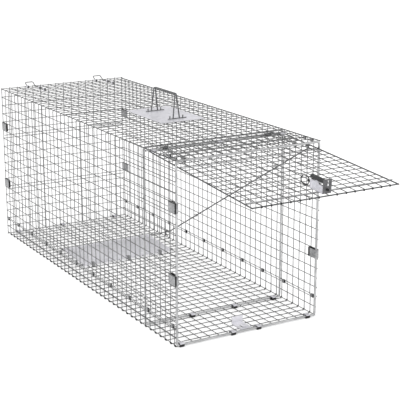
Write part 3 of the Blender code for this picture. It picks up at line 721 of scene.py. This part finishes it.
def make_door_mesh():
    """Mesh hooked round the end wires, except over the strike, with its two stiffening wires."""
    x = DOOR_SIDE
    paths = []
    wrap = OVER - DOOR_LEVEL
    strike_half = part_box("strike_plate")[1].x
    for n in span(1, DOOR_CELLS - 1):
        place = -x + n * 2 * x / DOOR_CELLS
        path = wavy((place, DOOR_TOP, OVER), (place, -DOOR_TIP, OVER), (1, 0, 0))
        tip_wound = 6 if abs(place) < strike_half + WIRE else 205
        ends = (path[0].copy(), DOOR_TOP, 1, 115), (path[-1].copy(), -DOOR_TIP, -1, tip_wound)
        for end, y, way, wound in ends:
            reach = math.radians(wound + random.uniform(-6, 6))
            turns = [reach * i / 6 for i in range(1, 7)]
            hook = [Vector((end.x, y + way * wrap * math.sin(a), DOOR_LEVEL + wrap * math.cos(a)))
                    for a in turns]
            path = [*reversed(hook), *path] if way > 0 else [*path, *hook]
        paths.append(path)
    row = -DOOR_TIP + CELL
    while row < DOOR_TOP - CELL / 2:
        paths.append(wavy((-x, row, UNDER), (x, row, UNDER), (0, 1, 0)))
        row += CELL
    # The hooks round the tip wire take painted shade.
    wires("door_lattice", paths, WIRE, MESH_ZINC, "door", ["door_mesh"], DOOR, dark=painted_shade_at_tip)
    lift = WIRE / 2 + STIFFENER / 2 - SINK
    stiff = [[(-x, cells * CELL, z), (x, cells * CELL, z)]
             for cells, z in ((-6, UNDER - lift), (-17, OVER + lift))]
    wires("door_stiffeners", stiff, STIFFENER, HOOP_ZINC, "door", matrix=DOOR, sides=10)


def make_door_fittings():
    """Catch wire, three hinge straps and the clips that hold the hinge springs' legs."""
    low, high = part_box("door_catch_wire")
    centre = DOOR.inverted() @ ((low + high) / 2)
    wires("door_catch", [[(low.x, centre.y, centre.z), (high.x, centre.y, centre.z)]], PIVOT_WIRE,
          SPRING_STEEL, "door", ["door_catch_wire"], DOOR, sides=12)
    radius = 0.0028
    for name in ("left", "middle", "right"):
        low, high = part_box("hinge_strap_" + name)
        middle = (low.x + high.x) / 2
        outline = []
        for centre_y, begin in ((0.0, -math.pi / 2), (DOOR_TOP, math.pi / 2)):
            for i in range(13):
                angle = begin + math.pi * i / 12
                outline.append((middle, centre_y + radius * math.cos(angle), radius * math.sin(angle)))
        sleeve("strap_" + name, outline, (0.006, 0, 0), "door", ["hinge_strap_" + name], DOOR, bright=True)
    leg_x, leg_y, half = 0.150 + 0.0062, -0.1050, 0.0034
    for side, sign in (("left", -1), ("right", 1)):
        place = sign * leg_x
        outline = loop_path(place - half, place + half, leg_y, UNDER - 0.0030, 0.0066)
        sleeve(f"spring_{side}_clip", outline, (0, 0.0050, 0), "door", matrix=DOOR)


# ---- the lock -----------------------------------------------------------------------------
def turned(name, profile, place, material, body, replaces):
    """A solid turned about the door's -Y, from (radius, place along the door) pairs."""
    bm = bmesh.new()
    rings = []
    sides = 32
    for radius, along in profile:
        if radius == 0:
            rings.append([bm.verts.new((place[0], along, place[1]))])
            continue
        turns = [2 * math.pi * k / sides for k in range(sides)]
        rings.append([bm.verts.new((place[0] + radius * math.cos(a), along,
                                    place[1] + radius * math.sin(a))) for a in turns])
    for near, far in zip(rings, rings[1:]):
        for k in range(sides):
            corners = [ring[step % len(ring)] for ring, step in
                       ((near, k), (near, k + 1), (far, k + 1), (far, k))]
            unique = list(dict.fromkeys(corners))
            if len(unique) > 2:
                bm.faces.new(unique).smooth = True
    bmesh.ops.recalc_face_normals(bm, faces=bm.faces)
    return piece(name, bm, [material], body, replaces, DOOR)


LOCK_LOW, LOCK_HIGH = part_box("lock_bracket")
LOCK_BACK, LOCK_FRONT = -0.4075, -0.4555               # places along the door
LOCK_FLOOR, LOCK_SIDE_TOP, LOCK_END_TOP = 0.0060, 0.0275, 0.0385
BOLT = DOOR.inverted() @ RING                          # the ring's pin lies on the bolt's axis
COLLAR, COLLAR_HALF = -0.4400, 0.0048                  # place and radius of the bolt's collar


def make_lock_case():
    """Bracket with its side plate, the slotted end plate and three rivets."""
    left, right, back, front, floor = LOCK_LOW.x, LOCK_HIGH.x, LOCK_BACK, LOCK_FRONT, LOCK_FLOOR
    bm = bmesh.new()
    box_faces(bm, (left, front, floor), (right, back, floor + PLATE))
    box_faces(bm, (left, back - 0.0030, floor), (0.0040, back - 0.0020, 0.0220))
    step, drop = front + 0.0190, 0.0038           # the side plate is lower near the end plate
    outline = [(left, front, floor), (left, back, floor), (left, back, LOCK_SIDE_TOP),
               (left, step, LOCK_SIDE_TOP), (left, step - 0.0030, LOCK_SIDE_TOP - drop),
               (left, front, LOCK_SIDE_TOP - drop)]
    flat = bm.faces.new([bm.verts.new(p) for p in outline])
    raised = bmesh.ops.extrude_face_region(bm, geom=[flat])["geom"]
    moved = [v for v in raised if isinstance(v, bmesh.types.BMVert)]
    bmesh.ops.translate(bm, vec=(PLATE, 0, 0), verts=moved)
    bmesh.ops.recalc_face_normals(bm, faces=bm.faces)
    bracket = piece("lock_body", bm, [LOCK_STEEL, CUT_STEEL_AND_SHADE], "door", ["lock_bracket"], DOOR)
    soften(bracket, 0.0003)
    bm = bmesh.new()
    box_faces(bm, (left - 0.0002, front, floor), (right, front + PLATE + 0.0002, LOCK_END_TOP))
    end = piece("lock_end_plate", bm, [FACE_STEEL], "door", (), DOOR)
    hole = bmesh.new()
    box_faces(hole, (-0.0046, front - 0.004, 0.0225), (-0.0016, front + 0.004, 0.0350))
    hole.transform(DOOR)
    cut(end, hole, (0, 0, 0))
    hole = bmesh.new()
    bmesh.ops.create_cone(hole, cap_ends=True, segments=24, radius1=0.0032, radius2=0.0032, depth=0.008)
    hole.transform(DOOR @ Matrix.Translation((BOLT.x, front, BOLT.z))
                   @ Matrix.Rotation(math.pi / 2, 4, "X"))
    cut(end, hole, (0, 0, 0))
    soften(end, 0.0003)
    bm = bmesh.new()
    for x, y in ((left + 0.0040, back - 0.0090), (right - 0.0045, back - 0.0090),
                 (right - 0.0045, front + 0.0120)):
        made = bmesh.ops.create_uvsphere(bm, u_segments=16, v_segments=8, radius=0.0024)["verts"]
        bmesh.ops.scale(bm, vec=(1, 1, 0.55), verts=made)
        bmesh.ops.translate(bm, vec=(x, y, floor + PLATE), verts=made)
    for face in bm.faces:
        face.smooth = True
    piece("lock_rivets", bm, [FACE_STEEL], "door", (), DOOR)


def make_lock_bolt():
    """Grip sleeve, bolt with its collar, coil spring behind the collar, and pull ring."""
    grip, rim = 0.0052, 0.0009
    start, stop = LOCK_FRONT + PLATE + 0.0005, LOCK_BACK + 0.0010
    profile = [(0, stop - 0.003), (grip - 0.0022, stop - 0.003), (grip - 0.0018, stop), (grip - rim, stop),
               (grip, stop - rim), (grip, start + rim), (grip - rim, start), (0, start)]
    turned("grip_sleeve", profile, (LOCK_LOW.x + grip, LOCK_SIDE_TOP + 0.0003 + grip), GRIP_PLASTIC,
           "door", ["lock_grip"])
    r, tail, nose = 0.0028, -0.3850, -0.4610
    profile = [(0, tail), (r - 0.0008, tail), (r, tail - 0.0008), (r, COLLAR), (COLLAR_HALF, COLLAR),
               (COLLAR_HALF, COLLAR - 0.0030), (r, COLLAR - 0.0030), (r, nose + 0.0018),
               (r - 0.0012, nose), (0, nose)]
    turned("bolt", profile, (BOLT.x, BOLT.z), BLACKENED, "lock_bolt", ["lock_bolt"])
    coil_r, pitch, turns, per_turn = 0.0042, 0.0042, 6, 16
    coil = []
    for i in range(turns * per_turn + 1):
        angle = 2 * math.pi * i / per_turn
        coil.append((BOLT.x + coil_r * math.cos(angle), COLLAR + 0.0012 + pitch * i / per_turn,
                     BOLT.z + coil_r * math.sin(angle)))
    spring = wires("bolt_spring", [coil], 0.0010, SPRING_STEEL, None, ["lock_spring"], DOOR)
    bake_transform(spring)
    low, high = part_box("pull_ring")
    centre = DOOR.inverted() @ ((low + high) / 2)
    out, up = centre - BOLT, Vector((0, 0, 1))
    angles = [2 * math.pi * k / 48 for k in range(48)]
    ring = [centre + out * math.cos(a) + up * out.length * math.sin(a) for a in angles]
    wires("ring_wire", [ring], 0.0024, BLACKENED, "pull_ring", ["pull_ring"], DOOR,
          closed=True, sides=12)


# ---- treadle and trip rod -----------------------------------------------------------------
def make_treadle():
    """Plate rolled round its hinge wire and its lift wire, with its clips and hooks."""
    low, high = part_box("treadle_plate")
    tilt = math.atan2(LIFT.z - TREADLE.z, LIFT.y - TREADLE.y)
    arm = math.hypot(LIFT.z - TREADLE.z, LIFT.y - TREADLE.y)
    place = Matrix.Translation(TREADLE) @ Matrix.Rotation(tilt, 4, "X")
    curl = PIVOT_WIRE / 2 + 0.0003 + PLATE / 2

    def roll(centre, towards):
        """The edge rolled most of the way round a wire."""
        turns = [math.pi / 2 + towards * math.radians(250) * (1 - i / 16) for i in range(17)]
        return [(0, centre + curl * math.cos(a), curl * math.sin(a)) for a in turns]

    path = [*roll(0.0, 1), *reversed(roll(arm, -1))]
    half = (high.x - low.x) / 2
    # The treadle takes the lighter plate zinc: painted light against the roof's shade.
    plate = bent_sheet("treadle_sheet", path, (half, 0, 0), PLATE, [LIT_PLATE_ZINC, CUT_STEEL_AND_SHADE], "treadle",
                       ["treadle_plate"], place)
    for side, x in (("left", -5.1 * CELL), ("right", 5.1 * CELL)):
        hole = bmesh.new()
        bmesh.ops.create_cone(hole, cap_ends=True, segments=20, radius1=0.0030, radius2=0.0030, depth=0.006)
        hole.transform(place @ Matrix.Translation((x, arm - 0.012, curl)))
        cut(plate, hole, (0, 0, 0))
    wires("lift_wire", [[(LIFT_LOW.x, LIFT.y, LIFT.z), (LIFT_HIGH.x, LIFT.y, LIFT.z)]], PIVOT_WIRE,
          SPRING_STEEL, "treadle", ["treadle_lift_wire"], sides=12)
    low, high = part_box("treadle_hinge_wire")
    wires("hinge_wire", [[(low.x, TREADLE.y, TREADLE.z), (high.x, TREADLE.y, TREADLE.z)]], PIVOT_WIRE,
          SPRING_STEEL, "cage", ["treadle_hinge_wire"], sides=12)
    for side in ("left", "right"):
        low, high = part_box("treadle_clip_" + side)
        x, drop = (low.x + high.x) / 2, TREADLE.z - low.z - CLIP / 2
        path = [(x, high.y, low.z + CLIP / 2)]
        for i in range(25):
            angle = -math.pi / 2 - math.radians(290) * i / 24
            path.append((x, TREADLE.y + drop * math.cos(angle), TREADLE.z + drop * math.sin(angle)))
        bent_sheet(f"treadle_{side}_clip", path, ((high.x - low.x) / 2, 0, 0), CLIP, [CLIP_ZINC, CUT_STEEL_AND_SHADE],
                   "cage", ["treadle_clip_" + side])
    for number, place_x in enumerate((-4.4, 0.1, 4.2), 1):
        x, y, over = place_x * CELL, TREADLE.y, TREADLE.z + 0.0037
        path = rounded([(x, y + 0.0050, over), (x, y - 0.0042, over), (x, y - 0.0052, CLIP / 2),
                        (x, y - 0.0150, CLIP / 2)], 0.0014, 4)
        bent_sheet(f"treadle_hook_{number}", path, (0.0044, 0, 0), CLIP, [CLIP_ZINC, CUT_STEEL_AND_SHADE], "cage")


def make_trip_rod():
    """Rod outside the right wall: open eye round the lift wire, finger at the catch, two guides."""
    low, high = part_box("trip_rod")
    slide = Vector(joints["rod_slide"]["axis"])
    across = Vector((0, -slide.z, slide.y))
    x, half = SIDE + 0.0022, 0.00175
    finger = Vector((x, low.y + half, high.z - half))
    knee = finger - Vector((0, 0, 0.0082))
    eye_r, steps, mouth = 0.0076, 26, math.radians(50)
    back = Vector((0, knee.y - LIFT.y, knee.z - LIFT.z))
    lower = Vector((0, back.z, -back.y)).normalized() * 0.0030
    begin = math.atan2(back.z, back.y) + mouth
    sweep = 2 * math.pi - mouth
    eye = []
    for i in range(steps + 1):
        angle = begin + sweep * i / steps
        eye.append(Vector((x, LIFT.y + eye_r * math.cos(angle), LIFT.z + eye_r * math.sin(angle))) - lower)
    inboard = Vector((low.x, finger.y, finger.z))
    path = [*eye[:-1], *rounded([eye[-1], knee, finger, inboard], 0.0036, 6)]
    wires("trip_rod_wire", [path], ROD - ROD_TRIM, FRAME_ZINC, "trip_rod", ["trip_rod"],
          sides=12)
    loop_r = 0.0031
    for end in ("front", "rear"):
        low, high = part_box("rod_guide_" + end)
        centre = Vector((0, (low.y + high.y) / 2, (low.z + high.z) / 2))
        loop = [Vector((low.x, 0, 0)) + across * loop_r]
        for i in range(13):
            angle = math.pi / 2 - math.pi * i / 12
            loop.append(Vector((x + loop_r * math.cos(angle), 0, 0)) + across * loop_r * math.sin(angle))
        loop.append(Vector((low.x, 0, 0)) - across * loop_r)
        wires(f"{end}_rod_guide", [[p + centre for p in loop]], 0.0018, SPRING_STEEL, "cage",
              ["rod_guide_" + end], sides=10)


# ---- stage --------------------------------------------------------------------------------
LAMPS = (("key", (-2.6, -0.8, 3.2), 2.4, 40.0), ("fill", (2.4, -2.6, 2.2), 2.0, 18.0))
LOOK_DOWN, LOOK_TURN = 15.548, 30.62      # degrees


def make_stage():
    """A plain white floor just under the cage."""
    bm = bmesh.new()
    bmesh.ops.create_grid(bm, x_segments=1, y_segments=1, size=30)
    bmesh.ops.translate(bm, vec=(0, 0, -0.0002), verts=bm.verts)
    data = bpy.data.meshes.new("floor")
    bm.to_mesh(data)
    bm.free()
    floor = bpy.data.objects.new("floor", data)
    bpy.context.scene.collection.objects.link(floor)
    mat, nodes, links, shader = new_material("studio floor")
    links.new(ramp(nodes, links, noise(nodes, links, 3.0), [(0.3, 0.90), (0.7, 0.93)]),
              shader.inputs["Base Color"])
    shader.inputs["Roughness"].default_value = 0.9
    shader.inputs["Specular IOR Level"].default_value = 0.1
    shader.inputs["Emission Color"].default_value = (1, 1, 1, 1)
    shader.inputs["Emission Strength"].default_value = 0.40
    data.materials.append(mat)


def make_light():
    """A white sky that is a little darker overhead, and two soft lamps."""
    world = bpy.data.worlds.new("studio")
    bpy.context.scene.world = world
    world.use_nodes = True
    nodes, links = world.node_tree.nodes, world.node_tree.links
    coords = nodes.new("ShaderNodeTexCoord")
    height = nodes.new("ShaderNodeSeparateXYZ")
    links.new(coords.outputs["Generated"], height.inputs["Vector"])
    sky = ramp(nodes, links, height.outputs["Z"], [(0.15, 1.0), (0.85, 0.62)])
    links.new(sky, nodes["Background"].inputs["Color"])
    nodes["Background"].inputs["Strength"].default_value = 1.02
    for name, place, size, power in LAMPS:
        lamp = bpy.data.lights.new(name, "AREA")
        lamp.shape = "SQUARE"
        lamp.size = size
        lamp.energy = power
        holder = bpy.data.objects.new(name, lamp)
        holder.location = place
        holder.rotation_euler = (Vector((0, 0, 0.2)) - Vector(place)).to_track_quat("-Z", "Y").to_euler()
        bpy.context.scene.collection.objects.link(holder)


def make_camera():
    """Camera at the photograph's angle, above and left of the mouth."""
    camera = bpy.data.cameras.new("camera")
    camera.sensor_width = 36.0
    camera.lens = 104.2
    camera.clip_end = 100.0
    holder = bpy.data.objects.new("camera", camera)
    holder.location = (-1.452, -2.7549, 1.0724)
    holder.rotation_euler = (math.radians(90 - LOOK_DOWN), 0, math.radians(-LOOK_TURN))
    bpy.context.scene.collection.objects.link(holder)
    bpy.context.scene.camera = holder


bpy.context.scene.view_settings.view_transform = "Standard"
make_tray()
make_cover()
make_rear_panel()
make_hoops()
make_corner_clips()
make_seam_rings()
make_floor_clips()
make_handle()
make_rear_hooks()
make_stops()
make_hinge()
make_strike()
make_door_frame()
make_door_mesh()
make_door_fittings()
make_lock_case()
make_lock_bolt()
make_treadle()
make_trip_rod()
make_stage()
make_light()
make_camera()
